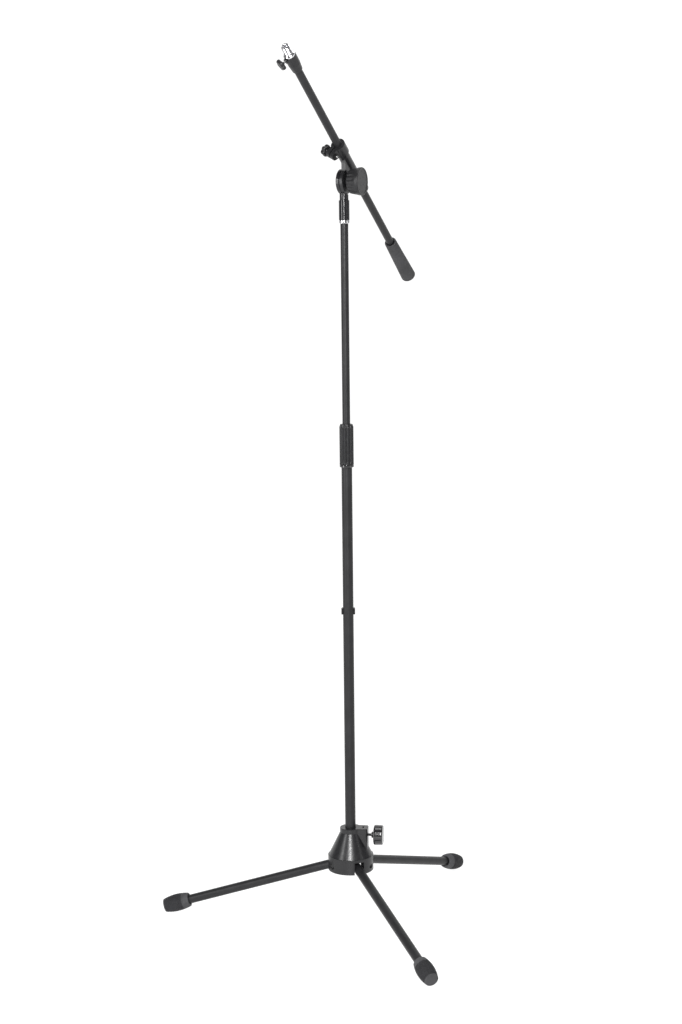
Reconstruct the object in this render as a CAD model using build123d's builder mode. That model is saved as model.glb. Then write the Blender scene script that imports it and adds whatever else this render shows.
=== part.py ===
from build123d import *
from math import cos, radians, sin, sqrt, tan
import os

os.makedirs("parts", exist_ok=True)

# Boom microphone stand, millimetres, +Z up.
# Origin: on the column axis, at the height of the floor under the feet.

# general clearances
fit = 0.05              # radial, running and assembled fits
gap = 0.4               # between pieces that move past each other

# legs and feet
leg_azimuths = (172.5, 292.5, 52.5)
leg_slope = 16.5        # below horizontal
leg_od = 19.0
leg_wall = 1.5
foot_tip = 421.0        # along the leg axis, from the column axis
foot_length = 56.0
foot_radius = 18.2
foot_bulge = 99.0       # radius of the barrel arc
foot_centre = 29.0      # widest point, back from the tip
foot_lip = 3.0
foot_lip_gap = 1.4
foot_floor = 13.0       # rubber between the tube end and the tip
foot_edge = 1.2

# hinge of a leg
pin_radius = 3.0
pin_reach = 35.5        # pin axis to column axis
pin_span = 44.0
pin_side = 25.0         # longer end of the pin, from the leg's middle plane
pin_recess = 4.6
leg_stub = 11.0         # tube end, inwards from the pin
plug_length = 25.0

# base casting
flange_radius = 47.8
flange_height = 31.7
flange_step = 1.6
hub_below_rim = 10.3    # leg axes cross the column axis this far below the rim
cone_height = 49.0
cone_top_radius = 22.0
collar_radius = 22.2
collar_height = 9.9
slot_side = 1.2         # beside the leg tube
slot_top = 5.8          # below the rim
boss_azimuth = -7.5
boss_reach = 37.2
boss_width = 30.0
boss_corner = 5.0
boss_depth = 48.0
collar_edge = 0.8

# base clamp screw and knob
base_screw_radius = 3.0
base_screw_drop = 15.8  # below the top of the collar
base_nut_side = 10.0
base_nut_thick = 3.0
base_nut_reach = 27.0
hub_radius = 6.6
hub_start = 45.0
base_knob_start = 50.0
base_knob_thick = 19.5
base_knob_radius = 21.2
base_knob_edge = 3.0
base_knob_back_edge = 1.2
base_screw_bury = 12.0

# column
tube_od = 22.0
tube_wall = 1.5
plate_radius = 28.8
plate_thick = 4.0
plate_chamfer = 1.2
plate_side_gap = 1.2
plate_travel = 5.0
plug_depth = 16.0
clip_height = 13.0
clip_middle = 666.5
clip_wall = 3.4
clip_cover = 210.0
hook_radius = 3.6
hook_wall = 2.6
hook_cover = 250.0

# height clutch
clutch_bottom = 968.0
clutch_top = 1056.5
clutch_radius = 14.8
clutch_crown = 12.6
clutch_taper = 6.0
clutch_lip = 5.5
clutch_core = 12.4
clutch_core_top = 1029.0
clutch_tube_top = 1023.0
clutch_cap = 5.0
collet_height = 18.0
collet_slit = 1.2
flute_count = 12
flute_radius = 1.9
flute_out = 0.6         # flute centre outside the sleeve surface

# upper tube and head
inner_od = 16.0
inner_wall = 1.3
inner_bottom = 841.0
bush_height = 25.0
bush_foot = 3.0
ring_bottom = 1462.0
ring_height = 6.8
ring_radius = 11.0
ring_edge = 0.8
barrel_radius = 10.8
barrel_height = 39.4
barrel_bore = 20.0
neck_radius = 9.0
barrel_edge = 1.0
neck_drop = 10.0        # top of the neck, below the pivot axis
pivot_height = 1544.9
disc_radius = 25.0
disc_thick = 7.4
disc_edge = 1.2
face_groove_radius = 19.0
face_groove_width = 2.0
face_groove_depth = 1.0
saddle_gap = 0.8

# tilt bolt and knob
bolt_radius = 4.0
bolt_head_radius = 7.0
bolt_head_thick = 3.0
bolt_end = 33.0
hex_depth = 2.4
knob_hub_radius = 12.0
knob_start = 14.0
knob_clear_radius = 13.0 # flat round the knob's hub
knob_depth = 27.0
knob_inner_radius = 23.5
knob_outer_radius = 28.0
knob_flutes = 18
knob_flute_radius = 2.6
knob_rim = 5.0
knob_flute_out = 1.6    # flute centre outside the knob surface
knob_edge = 1.6
insert_radius = 6.5
dot_count = 8
dot_radius = 0.8
dot_ring = 20.0
dot_height = 0.5

# boom and its holder
tilt_azimuth = -24.0
boom_elevation = 36.6
boom_offset = 36.9      # boom axis to pivot axis
boom_side = 3.5         # boom axis to the column's middle plane
boom_od = 16.0
boom_wall = 1.3
sleeve_radius = 11.6
sleeve_front = 72.0
sleeve_back = 74.0
end_ring_radius = 14.5
clamp_length = 26.0
back_ring_length = 9.0
web_thick = 9.0
web_reach = 34.0
web_rise = 24.0
web_start = 10.0        # where the web leaves the disc, above the pivot axis
web_end = 61.0          # half length of the web at the boom
ear_turn = 30.0
ear_round = 9.5         # rounded ends of the clamp ears, round the screw
ear_half = 9.0
ear_split = 2.0
ear_hole_reach = 19.5
ear_hole_back = 9.5     # screw axis, back from the sleeve's front end

# boom clamp screw
clamp_screw_radius = 2.5
clamp_nut_flat = 8.6
clamp_nut_thick = 4.0
clamp_screw_out = 1.0
clamp_knob_start = 15.0
clamp_knob_thick = 10.0
clamp_knob_radius = 12.5
clamp_knob_neck = 5.0
clamp_lobes = 6
clamp_lobe_cut = 4.0

# front end
socket_start = 299.0
socket_end = 341.0
socket_back_radius = 10.2
socket_front_radius = 12.0
socket_tube_depth = 18.0
spigot_radius = 6.0
spigot_length = 18.0
adapter_gap = 0.4
adapter_flange_radius = 11.6
adapter_flange = 5.0
thread_radius = 7.9
thread_length = 19.0
slot_width = 3.2
slot_depth = 6.0
thread_edge = 1.0
thumb_turn = 52.0
thumb_back = 6.5       # screw axis, back from the socket's front face
thumb_radius = 2.0
thumb_boss_radius = 5.0
thumb_boss_reach = 14.0
thumb_knob_start = 20.0
thumb_knob_thick = 7.5
thumb_knob_radius = 12.0
thumb_lobes = 5
thumb_lobe_cut = 3.6
thumb_neck = 2.0

# counterweight
weight_start = 260.0
weight_end = 385.0
weight_front_radius = 12.6
weight_back_radius = 15.6
weight_floor = 9.0
weight_mouth = 3.0
weight_mouth_gap = 1.4
weight_edge = 1.2

# heights that follow from the sizes above
foot_arc_height = foot_radius - foot_bulge
hub_height = (
    (foot_tip - foot_centre) * sin(radians(leg_slope))
    + foot_arc_height * cos(radians(leg_slope))
    + foot_bulge
)
rim_height = hub_height + hub_below_rim
flange_bottom = rim_height - flange_height
cone_top = rim_height + cone_height
collar_top = cone_top + collar_height
pin_height = hub_height - pin_reach * tan(radians(leg_slope))
plate_bottom = (
    pin_height
    + leg_stub * sin(radians(leg_slope))
    + leg_od / 2 * cos(radians(leg_slope))
    + gap
)
plate_top = plate_bottom + plate_thick
cavity_top = plate_top + plate_travel + gap
cavity_radius = plate_radius + plate_side_gap
leg_slot_width = leg_od + 2 * slot_side
screw_height = collar_top - base_screw_drop
barrel_bottom = ring_bottom + ring_height
barrel_top = barrel_bottom + barrel_height

# directions of the head: pivot axis, boom, and the normal to both
pivot_dir = Vector(cos(radians(tilt_azimuth)), sin(radians(tilt_azimuth)), 0)
level_dir = Vector(sin(radians(tilt_azimuth)), -cos(radians(tilt_azimuth)), 0)
up_dir = Vector(0, 0, 1)
boom_dir = level_dir * cos(radians(boom_elevation)) + up_dir * sin(radians(boom_elevation))
rise_dir = up_dir * cos(radians(boom_elevation)) - level_dir * sin(radians(boom_elevation))
pivot_point = Vector(0, 0, pivot_height)
boom_point = pivot_point + rise_dir * boom_offset + pivot_dir * boom_side
ear_dir = rise_dir * -cos(radians(ear_turn)) - pivot_dir * sin(radians(ear_turn))
ear_axis = pivot_dir * -cos(radians(ear_turn)) + rise_dir * sin(radians(ear_turn))
thumb_dir = pivot_dir * -cos(radians(thumb_turn)) - rise_dir * sin(radians(thumb_turn))


def save(piece, name):
    piece.part.label = name
    export_step(piece.part, f"parts/{name}.step")


def radial(azimuth):
    return Vector(cos(radians(azimuth)), sin(radians(azimuth)), 0)


def tangent(azimuth):
    return Vector(-sin(radians(azimuth)), cos(radians(azimuth)), 0)


def leg_dir(azimuth):
    return radial(azimuth) * cos(radians(leg_slope)) - up_dir * sin(radians(leg_slope))


def leg_plane(azimuth, along):
    origin = Vector(0, 0, hub_height) + leg_dir(azimuth) * along
    return Plane(origin=origin, x_dir=tangent(azimuth), z_dir=leg_dir(azimuth))


def pin_plane(azimuth, side):
    origin = radial(azimuth) * pin_reach + tangent(azimuth) * side + up_dir * pin_height
    return Plane(origin=origin, x_dir=up_dir, z_dir=tangent(azimuth))


def screw_plane(reach):
    origin = radial(boss_azimuth) * reach + up_dir * screw_height
    return Plane(origin=origin, x_dir=tangent(boss_azimuth), z_dir=radial(boss_azimuth))


def pivot_plane(side):
    return Plane(origin=pivot_point + pivot_dir * side, x_dir=rise_dir, z_dir=pivot_dir)


def boom_plane(along):
    return Plane(origin=boom_point + boom_dir * along, x_dir=pivot_dir, z_dir=boom_dir)


def clamp_plane(side):
    origin = boom_point + boom_dir * (sleeve_front - ear_hole_back)
    origin = origin + ear_dir * ear_hole_reach + ear_axis * side
    return Plane(origin=origin, x_dir=ear_dir, z_dir=ear_axis)


def thumb_plane(reach):
    origin = boom_point + boom_dir * (socket_end - thumb_back) + thumb_dir * reach
    return Plane(origin=origin, x_dir=boom_dir, z_dir=thumb_dir)


def disc(plane, radius, length):
    # a plain cylinder standing on the plane
    with BuildSketch(plane) as profile:
        Circle(radius)
    extrude(profile.sketch, amount=length)


def rimmed(plane, radius, length, edge):
    # a cylinder standing on the plane, both rims chamfered
    side = Plane(origin=plane.origin, x_dir=plane.x_dir, z_dir=plane.x_dir.cross(plane.z_dir))
    with BuildSketch(side) as profile:
        with BuildLine():
            Polyline(
                (0, 0),
                (radius - edge, 0),
                (radius, edge),
                (radius, length - edge),
                (radius - edge, length),
                (0, length),
                close=True,
            )
        make_face()
    revolve(profile.sketch, axis=Axis(plane.origin, plane.z_dir))


def bore(plane, radius, length):
    # a round hole sunk from the plane
    with BuildSketch(plane) as profile:
        Circle(radius)
    extrude(profile.sketch, amount=length, mode=Mode.SUBTRACT)


def lobed(plane, radius, length, count, cut):
    # a round knob with scallops round its rim
    with BuildSketch(plane) as profile:
        Circle(radius)
        with PolarLocations(radius + cut / 2, count):
            Circle(cut, mode=Mode.SUBTRACT)
    extrude(profile.sketch, amount=length)


# base

leg_along_pin = pin_reach / cos(radians(leg_slope))
stub_start = leg_along_pin - leg_stub

with BuildPart() as base_casting:
    with BuildSketch(Plane.XZ):
        with BuildLine():
            Polyline(
                (0, flange_bottom),
                (flange_radius, flange_bottom),
                (flange_radius, rim_height),
                (flange_radius - flange_step, rim_height),
                (cone_top_radius, cone_top),
                (0, cone_top),
                close=True,
            )
        make_face()
    revolve(axis=Axis.Z)
    with BuildSketch(Plane(origin=(0, 0, cone_top), z_dir=(0, 0, 1))):
        Circle(collar_radius)
    extrude(amount=collar_height)
    with BuildSketch(Plane(origin=(0, 0, collar_top), x_dir=radial(boss_azimuth), z_dir=(0, 0, -1))):
        RectangleRounded(2 * boss_reach, boss_width, boss_corner)
        with Locations((-collar_radius, 0)):
            Rectangle(2 * collar_radius, 2 * boss_width, mode=Mode.SUBTRACT)
    extrude(amount=boss_depth)
    bore(Plane(origin=(0, 0, flange_bottom), z_dir=(0, 0, 1)), cavity_radius, cavity_top - flange_bottom)
    bore(Plane(origin=(0, 0, cavity_top), z_dir=(0, 0, 1)), tube_od / 2 + fit, collar_top - cavity_top)
    for azimuth in leg_azimuths:
        with BuildSketch(Plane(origin=(0, 0, flange_bottom), x_dir=radial(azimuth), z_dir=(0, 0, 1))):
            with Locations((flange_radius, 0)):
                Rectangle(2 * flange_radius, leg_slot_width)
        extrude(amount=rim_height - slot_top - flange_bottom, mode=Mode.SUBTRACT)
        bore(pin_plane(azimuth, pin_side - pin_span), pin_radius + fit, pin_span)
        bore(pin_plane(azimuth, pin_side), pin_recess, flange_radius)
    bore(screw_plane(0), base_screw_radius + fit, flange_radius)
    nut_plane = Plane(
        origin=radial(boss_azimuth) * base_nut_reach + up_dir * collar_top,
        x_dir=tangent(boss_azimuth),
        z_dir=(0, 0, -1),
    )
    with BuildSketch(nut_plane):
        Rectangle(base_nut_side + 2 * fit, base_nut_thick + 2 * fit)
    extrude(amount=base_screw_drop + base_nut_side / 2 + fit, mode=Mode.SUBTRACT)
    chamfer(base_casting.edges().filter_by(GeomType.CIRCLE).group_by(Axis.Z)[-1], length=collar_edge)
save(base_casting, "base_casting")

with BuildPart() as leg_pins:
    for azimuth in leg_azimuths:
        disc(pin_plane(azimuth, pin_side - pin_span), pin_radius, pin_span)
save(leg_pins, "leg_pins")

with BuildPart() as base_nut:
    with BuildSketch(screw_plane(base_nut_reach - base_nut_thick / 2)):
        Rectangle(base_nut_side, base_nut_side)
        Circle(base_screw_radius + fit, mode=Mode.SUBTRACT)
    extrude(amount=base_nut_thick)
save(base_nut, "base_nut")

with BuildPart() as base_screw:
    screw_tip = tube_od / 2 + gap
    disc(screw_plane(screw_tip), base_screw_radius, base_knob_start + base_screw_bury - screw_tip)
    disc(screw_plane(hub_start), hub_radius, base_knob_start - hub_start)
save(base_screw, "base_screw")

with BuildPart() as base_knob:
    disc(screw_plane(base_knob_start), base_knob_radius, base_knob_thick)
    knob_axis = Axis((0, 0, screw_height), radial(boss_azimuth))
    fillet(base_knob.edges().group_by(knob_axis)[-1], radius=base_knob_edge)
    fillet(base_knob.edges().group_by(knob_axis)[0], radius=base_knob_back_edge)
    bore(screw_plane(base_knob_start), base_screw_radius + fit, base_screw_bury + fit)
save(base_knob, "base_knob")

# legs

foot_start = foot_tip - foot_length
tube_stop = foot_tip - foot_floor


def foot_edge_radius(along):
    # radius of the barrel arc at a distance along the leg
    offset = along - (foot_tip - foot_centre)
    return foot_arc_height + sqrt(foot_bulge ** 2 - offset ** 2)


for number, azimuth in enumerate(leg_azimuths, 1):
    with BuildPart() as leg_tube:
        disc(leg_plane(azimuth, stub_start), leg_od / 2, tube_stop - stub_start)
        bore(leg_plane(azimuth, stub_start), leg_od / 2 - leg_wall, tube_stop - stub_start)
        bore(pin_plane(azimuth, -leg_od), pin_radius + fit, 2 * leg_od)
    save(leg_tube, f"leg_tube_{number}")

    with BuildPart() as leg_plug:
        disc(leg_plane(azimuth, stub_start), leg_od / 2 - leg_wall - fit, plug_length)
        bore(pin_plane(azimuth, -leg_od), pin_radius + fit, 2 * leg_od)
    save(leg_plug, f"leg_plug_{number}")

    foot_plane = Plane(
        origin=Vector(0, 0, hub_height),
        x_dir=leg_dir(azimuth),
        z_dir=tangent(azimuth),
    )
    with BuildPart() as foot:
        with BuildSketch(foot_plane):
            with BuildLine():
                start_point = (foot_start, foot_edge_radius(foot_start))
                end_point = (foot_tip, foot_edge_radius(foot_tip))
                ThreePointArc(start_point, (foot_tip - foot_centre, foot_radius), end_point)
                Polyline(end_point, (foot_tip, 0), (foot_start, 0), start_point)
            make_face()
        revolve(axis=Axis(Vector(0, 0, hub_height), leg_dir(azimuth)))
        fillet(foot.edges().filter_by(GeomType.CIRCLE), radius=foot_edge)
        bore(leg_plane(azimuth, foot_start), leg_od / 2 + fit, tube_stop - foot_start + fit)
        bore(leg_plane(azimuth, foot_start), leg_od / 2 + foot_lip_gap, foot_lip)
    save(foot, f"rubber_foot_{number}")

# column

tube_id = tube_od - 2 * tube_wall


def level(height):
    return Plane(origin=(0, 0, height), z_dir=(0, 0, 1))


with BuildPart() as lower_tube:
    disc(level(plate_top), tube_od / 2, clutch_tube_top - plate_top)
    bore(level(plate_top), tube_id / 2, clutch_tube_top - plate_top)
save(lower_tube, "lower_tube")

with BuildPart() as column_plate:
    disc(level(plate_bottom), plate_radius, plate_thick)
    chamfer(column_plate.edges().group_by(Axis.Z)[0], length=plate_chamfer)
    disc(level(plate_top), tube_id / 2 - fit, plug_depth)
save(column_plate, "column_plate")

clip_inner = tube_od / 2 + fit
clip_outer = clip_inner + clip_wall
hook_centre = clip_outer + hook_radius + hook_wall / 2

with BuildPart() as cable_clip:
    with BuildSketch(level(clip_middle - clip_height / 2)):
        Circle(clip_outer)
        with Locations((0, hook_centre)):
            Circle(hook_radius + hook_wall)
            Circle(hook_radius, mode=Mode.SUBTRACT)
            hook_gap = radians((360 - hook_cover) / 2)
            with Locations((hook_radius * 2, hook_radius * 2)):
                Rectangle(4 * hook_radius, 4 * hook_radius * sin(hook_gap), rotation=45, mode=Mode.SUBTRACT)
        Circle(clip_inner, mode=Mode.SUBTRACT)
        with BuildLine():
            clip_gap = radians((360 - clip_cover) / 2)
            Polyline(
                (0, 0),
                (2 * clip_outer * sin(clip_gap), -2 * clip_outer * cos(clip_gap)),
                (0, -3 * clip_outer),
                (-2 * clip_outer * sin(clip_gap), -2 * clip_outer * cos(clip_gap)),
                close=True,
            )
        make_face(mode=Mode.SUBTRACT)
    extrude(amount=clip_height)
save(cable_clip, "cable_clip")

# height clutch

with BuildPart() as clutch_body:
    disc(level(clutch_bottom), clutch_radius, clutch_lip)
    fillet(clutch_body.edges(), radius=1.2)
    disc(level(clutch_bottom + clutch_lip), clutch_core, clutch_core_top - clutch_bottom - clutch_lip)
    bore(level(clutch_bottom), tube_od / 2 + fit, clutch_tube_top - clutch_bottom)
    bore(level(clutch_bottom), inner_od / 2 + gap, clutch_core_top - clutch_bottom)
save(clutch_body, "clutch_body")

sleeve_bottom = clutch_bottom + clutch_lip + gap
sleeve_length = clutch_top - sleeve_bottom
collet_bottom = clutch_core_top + gap
collet_outer = clutch_core - gap

with BuildPart() as clutch_sleeve:
    disc(level(sleeve_bottom), clutch_radius, sleeve_length)
    chamfer(
        clutch_sleeve.edges().group_by(Axis.Z)[-1],
        length=clutch_taper,
        length2=clutch_radius - clutch_crown,
    )
    with BuildSketch(level(sleeve_bottom)):
        with PolarLocations(clutch_radius + flute_out, flute_count):
            Circle(flute_radius)
    extrude(amount=sleeve_length, mode=Mode.SUBTRACT)
    bore(level(sleeve_bottom), clutch_core + fit, clutch_top - clutch_cap - sleeve_bottom)
    bore(level(sleeve_bottom), inner_od / 2 + gap, sleeve_length)
save(clutch_sleeve, "clutch_sleeve")

with BuildPart() as collet:
    disc(level(collet_bottom), collet_outer, collet_height)
    bore(level(collet_bottom), inner_od / 2 + fit, collet_height)
    with BuildSketch(level(collet_bottom)):
        with Locations((collet_outer, 0)):
            Rectangle(2 * (collet_outer - inner_od / 4), collet_slit)
    extrude(amount=collet_height, mode=Mode.SUBTRACT)
save(collet, "collet")

# upper tube and head

with BuildPart() as upper_tube:
    tube_length = barrel_bottom + barrel_bore - inner_bottom
    disc(level(inner_bottom), inner_od / 2, tube_length)
    bore(level(inner_bottom), inner_od / 2 - inner_wall, tube_length)
save(upper_tube, "upper_tube")

with BuildPart() as guide_bush:
    disc(level(inner_bottom - bush_foot - gap), tube_id / 2 - fit, bush_foot + bush_height)
    bore(level(inner_bottom - gap), inner_od / 2 + fit, bush_height + gap)
save(guide_bush, "guide_bush")

with BuildPart() as lock_ring:
    disc(level(ring_bottom), ring_radius, ring_height)
    fillet(lock_ring.edges(), radius=ring_edge)
    bore(level(ring_bottom), inner_od / 2 + fit, ring_height)
save(lock_ring, "lock_ring")

with BuildPart() as swivel_head:
    disc(level(barrel_bottom), barrel_radius, barrel_height)
    fillet(swivel_head.edges().group_by(Axis.Z)[-1], radius=barrel_edge)
    disc(level(barrel_top), neck_radius, pivot_height - neck_drop - barrel_top)
    bore(pivot_plane(-gap / 2), disc_radius + saddle_gap, 2 * barrel_radius)
    bore(pivot_plane(-gap / 2 - disc_thick), disc_radius, -2 * barrel_radius)
    rimmed(pivot_plane(-gap / 2 - disc_thick), disc_radius, disc_thick, disc_edge)
    with BuildSketch(pivot_plane(-gap / 2 - disc_thick)):
        Circle(face_groove_radius)
        Circle(face_groove_radius - face_groove_width, mode=Mode.SUBTRACT)
    extrude(amount=face_groove_depth, mode=Mode.SUBTRACT)
    bore(level(barrel_bottom), inner_od / 2 + fit, barrel_bore + fit)
    bore(pivot_plane(-gap / 2 - disc_thick), bolt_radius + fit, disc_thick)
    bore(pivot_plane(-gap / 2 - disc_thick), bolt_head_radius + fit, bolt_head_thick)
save(swivel_head, "swivel_head")

with BuildPart() as pivot_bolt:
    head_start = -gap / 2 - disc_thick
    disc(pivot_plane(head_start), bolt_head_radius, bolt_head_thick)
    disc(pivot_plane(head_start), bolt_radius, bolt_end - head_start)
    with BuildSketch(pivot_plane(head_start)):
        RegularPolygon(bolt_radius, 6)
    extrude(amount=hex_depth, mode=Mode.SUBTRACT)
save(pivot_bolt, "pivot_bolt")

# boom holder

boom_ring_front = sleeve_front - clamp_length

with BuildPart() as boom_holder:
    rimmed(pivot_plane(gap / 2), disc_radius, disc_thick, disc_edge)
    with BuildSketch(pivot_plane(gap / 2)):
        with BuildLine():
            web_half = sqrt(disc_radius ** 2 - web_start ** 2)
            ThreePointArc((web_start, web_half), (web_rise, web_reach), (boom_offset, web_end))
            ThreePointArc((web_start, -web_half), (web_rise, -web_reach), (boom_offset, -web_end))
            Line((web_start, web_half), (web_start, -web_half))
            Line((boom_offset, web_end), (boom_offset, -web_end))
        make_face()
    extrude(amount=web_thick)
    bore(pivot_plane(gap / 2 + disc_thick), knob_clear_radius, web_thick)
    disc(boom_plane(-sleeve_back), sleeve_radius, sleeve_front + sleeve_back)
    disc(boom_plane(-sleeve_back), end_ring_radius, back_ring_length)
    disc(boom_plane(boom_ring_front), end_ring_radius, clamp_length)
    with BuildSketch(clamp_plane(-ear_half)):
        Circle(ear_round)
        with Locations((-ear_hole_reach / 2, 0)):
            Rectangle(ear_hole_reach, 2 * ear_round)
    extrude(amount=2 * ear_half)
    bore(boom_plane(-sleeve_back), boom_od / 2 + fit, sleeve_front + sleeve_back)
    split_plane = Plane(
        origin=boom_point + boom_dir * boom_ring_front,
        x_dir=ear_dir,
        z_dir=boom_dir,
    )
    with BuildSketch(split_plane):
        with Locations((ear_hole_reach, 0)):
            Rectangle(2 * ear_hole_reach, ear_split)
    extrude(amount=clamp_length, mode=Mode.SUBTRACT)
    bore(clamp_plane(-2 * ear_half), clamp_screw_radius + fit, 4 * ear_half)
    bore(pivot_plane(gap / 2), bolt_radius + fit, disc_thick)
save(boom_holder, "boom_holder")

with BuildPart() as clamp_nut:
    nut_side = -ear_half - clamp_nut_thick
    with BuildSketch(clamp_plane(nut_side)):
        RegularPolygon(clamp_nut_flat / 2, 6, major_radius=False)
        Circle(clamp_screw_radius + fit, mode=Mode.SUBTRACT)
    extrude(amount=clamp_nut_thick)
save(clamp_nut, "clamp_nut")

with BuildPart() as clamp_screw:
    screw_end = -ear_half - clamp_nut_thick - clamp_screw_out
    disc(clamp_plane(screw_end), clamp_screw_radius, clamp_knob_start + clamp_knob_thick / 2 - screw_end)
save(clamp_screw, "clamp_screw")

with BuildPart() as clamp_knob:
    lobed(clamp_plane(clamp_knob_start), clamp_knob_radius, clamp_knob_thick, clamp_lobes, clamp_lobe_cut)
    neck_start = ear_half + gap
    disc(clamp_plane(neck_start), clamp_knob_neck, clamp_knob_start - neck_start)
    bore(clamp_plane(neck_start), clamp_screw_radius + fit, clamp_knob_start - neck_start + clamp_knob_thick / 2 + fit)
save(clamp_knob, "clamp_knob")

# tilt knob

hub_side = gap / 2 + disc_thick + gap

with BuildPart() as tilt_knob:
    with BuildSketch(pivot_plane(knob_start)) as inner_face:
        Circle(knob_inner_radius)
        with PolarLocations(knob_inner_radius + knob_flute_out, knob_flutes):
            Circle(knob_flute_radius, mode=Mode.SUBTRACT)
    with BuildSketch(pivot_plane(knob_start + knob_depth - knob_rim)) as outer_face:
        Circle(knob_outer_radius)
        with PolarLocations(knob_outer_radius + knob_flute_out, knob_flutes):
            Circle(knob_flute_radius, mode=Mode.SUBTRACT)
    loft([inner_face.sketch, outer_face.sketch])
    disc(pivot_plane(knob_start + knob_depth - knob_rim), knob_outer_radius, knob_rim)
    fillet(tilt_knob.edges().group_by(Axis(pivot_point, pivot_dir))[-1], radius=knob_edge)
    disc(pivot_plane(hub_side), knob_hub_radius, knob_start - hub_side)
    with BuildSketch(pivot_plane(knob_start + knob_depth)) as dots:
        with PolarLocations(dot_ring, dot_count):
            Circle(dot_radius)
        with PolarLocations(dot_ring / 2, dot_count // 2):
            Circle(dot_radius)
    extrude(dots.sketch, amount=dot_height)
    bore(pivot_plane(hub_side), insert_radius + fit, bolt_end - hub_side + gap)
save(tilt_knob, "tilt_knob")

with BuildPart() as tilt_insert:
    disc(pivot_plane(hub_side), insert_radius, bolt_end - hub_side)
    bore(pivot_plane(hub_side), bolt_radius + fit, bolt_end - hub_side)
save(tilt_insert, "tilt_insert")

# boom

boom_front = socket_start + socket_tube_depth
boom_back = -weight_end + weight_floor
socket_length = socket_end - socket_start

with BuildPart() as boom_tube:
    disc(boom_plane(boom_back), boom_od / 2, boom_front - boom_back)
    bore(boom_plane(boom_back), boom_od / 2 - boom_wall, boom_front - boom_back)
save(boom_tube, "boom_tube")

with BuildPart() as counterweight:
    with BuildSketch(boom_plane(-weight_end)) as back_face:
        Circle(weight_back_radius)
    with BuildSketch(boom_plane(-weight_start)) as front_face:
        Circle(weight_front_radius)
    loft([back_face.sketch, front_face.sketch])
    fillet(counterweight.edges().filter_by(GeomType.CIRCLE), radius=weight_edge)
    bore(boom_plane(boom_back - fit), boom_od / 2 + fit, weight_end - weight_start)
    bore(boom_plane(-weight_start), boom_od / 2 + weight_mouth_gap, -weight_mouth)
save(counterweight, "counterweight")

with BuildPart() as boom_socket:
    with BuildSketch(boom_plane(socket_start)) as back_face:
        Circle(socket_back_radius)
    with BuildSketch(boom_plane(socket_start + socket_tube_depth)) as front_face:
        Circle(socket_front_radius)
    loft([back_face.sketch, front_face.sketch])
    disc(boom_plane(boom_front), socket_front_radius, socket_length - socket_tube_depth)
    disc(thumb_plane(0), thumb_boss_radius, thumb_boss_reach)
    bore(boom_plane(socket_start), boom_od / 2 + fit, socket_tube_depth + fit)
    bore(boom_plane(socket_end), spigot_radius + fit, -spigot_length - gap)
    bore(thumb_plane(0), thumb_radius + fit, thumb_boss_reach)
save(boom_socket, "boom_socket")

with BuildPart() as thumb_screw:
    disc(
        thumb_plane(spigot_radius + gap),
        thumb_radius,
        thumb_knob_start + thumb_knob_thick / 2 - spigot_radius - gap,
    )
save(thumb_screw, "thumb_screw")

with BuildPart() as thumb_knob:
    lobed(thumb_plane(thumb_knob_start), thumb_knob_radius, thumb_knob_thick, thumb_lobes, thumb_lobe_cut)
    disc(thumb_plane(thumb_knob_start), 2 * thumb_radius, -thumb_neck)
    bore(
        thumb_plane(thumb_knob_start - thumb_neck),
        thumb_radius + fit,
        thumb_neck + thumb_knob_thick / 2 + fit,
    )
save(thumb_knob, "thumb_knob")

adapter_start = socket_end + adapter_gap

with BuildPart() as thread_adapter:
    disc(boom_plane(socket_end - spigot_length), spigot_radius, spigot_length + adapter_gap)
    disc(boom_plane(adapter_start), adapter_flange_radius, adapter_flange)
    disc(boom_plane(adapter_start + adapter_flange), thread_radius, thread_length)
    chamfer(thread_adapter.edges().group_by(Axis(boom_point, boom_dir))[-1], length=thread_edge)
    with BuildSketch(boom_plane(adapter_start + adapter_flange + thread_length)) as slot:
        Rectangle(slot_width, 3 * thread_radius)
        Circle(thread_radius / 2)
    extrude(slot.sketch, amount=-slot_depth, mode=Mode.SUBTRACT)
save(thread_adapter, "thread_adapter")
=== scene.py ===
import math

import bpy
import numpy as np
from mathutils import Matrix


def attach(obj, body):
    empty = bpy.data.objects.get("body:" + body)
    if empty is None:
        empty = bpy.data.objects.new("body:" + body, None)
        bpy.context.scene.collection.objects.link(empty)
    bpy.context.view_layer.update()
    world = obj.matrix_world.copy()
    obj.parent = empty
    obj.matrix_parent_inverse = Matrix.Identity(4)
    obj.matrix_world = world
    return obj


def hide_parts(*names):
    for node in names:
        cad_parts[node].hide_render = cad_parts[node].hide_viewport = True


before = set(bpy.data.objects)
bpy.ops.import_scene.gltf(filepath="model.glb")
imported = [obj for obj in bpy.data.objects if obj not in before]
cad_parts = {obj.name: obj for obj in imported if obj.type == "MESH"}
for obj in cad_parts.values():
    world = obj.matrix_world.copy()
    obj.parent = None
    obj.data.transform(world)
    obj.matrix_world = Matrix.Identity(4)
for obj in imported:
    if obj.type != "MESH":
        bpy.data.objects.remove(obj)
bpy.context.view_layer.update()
mm = 0.001
axisGap = 0.02      # smallest radius of a turned solid, mm
print("frame loaded")

# directions shared by the pieces of the head and the legs
head = {"turn": -24.0, "rise": 36.6, "pivot": 1544.9, "boomUp": 36.9, "boomSide": 3.5}
legs = {"azimuths": (172.5, 292.5, 52.5), "slope": 16.5, "tip": 421.0, "bulge": 99.0, "fat": 18.2,
        "back": 29.0}

upward = np.array((0.0, 0.0, 1.0))


def unit(vector):
    # vector / length
    vector = np.asarray(vector, float)
    return vector / np.linalg.norm(vector)


def flat(azimuth):
    # (cos azimuth, sin azimuth, 0)
    turn = math.radians(azimuth)
    return np.array((math.cos(turn), math.sin(turn), 0.0))


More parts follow.
